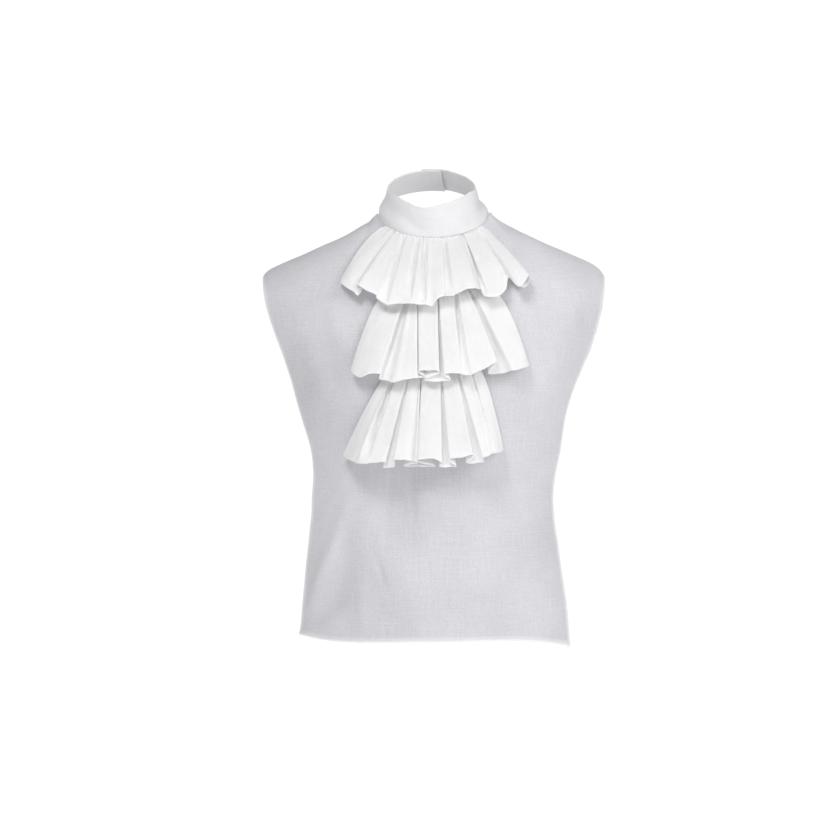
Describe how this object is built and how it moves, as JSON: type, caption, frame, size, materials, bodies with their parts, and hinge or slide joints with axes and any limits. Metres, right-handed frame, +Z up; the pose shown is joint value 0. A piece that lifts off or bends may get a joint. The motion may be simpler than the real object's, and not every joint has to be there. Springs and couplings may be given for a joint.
{
  "type": "jabot with ruffles on a stand-up collar and bib",
  "caption": "Jabot: tiers of gathered ruffles fall from a stand-up neck band, sewn to a sheer bib that covers the shoulders, chest and waist.",
  "frame": {"origin": "centre of the neck, level with the sides of the collar's lower seam", "axes": "+Z up along the wearer, -Y is the way the wearer faces, +X to the right in a front view"},
  "size_m": [0.4667, 0.2331, 0.6495],
  "materials": {
    "collar_cotton": "matte",
    "bib_voile": "matte",
    "ruffle_cotton": "matte"
  },
  "bodies": {
    "root": {"collar_band": "collar_cotton", "collar_closure": "collar_cotton", "bib_panel": "bib_voile", "ruffle_top": "ruffle_cotton", "ruffle_middle": "ruffle_cotton", "ruffle_bottom": "ruffle_cotton"}
  },
  "joints": []
}
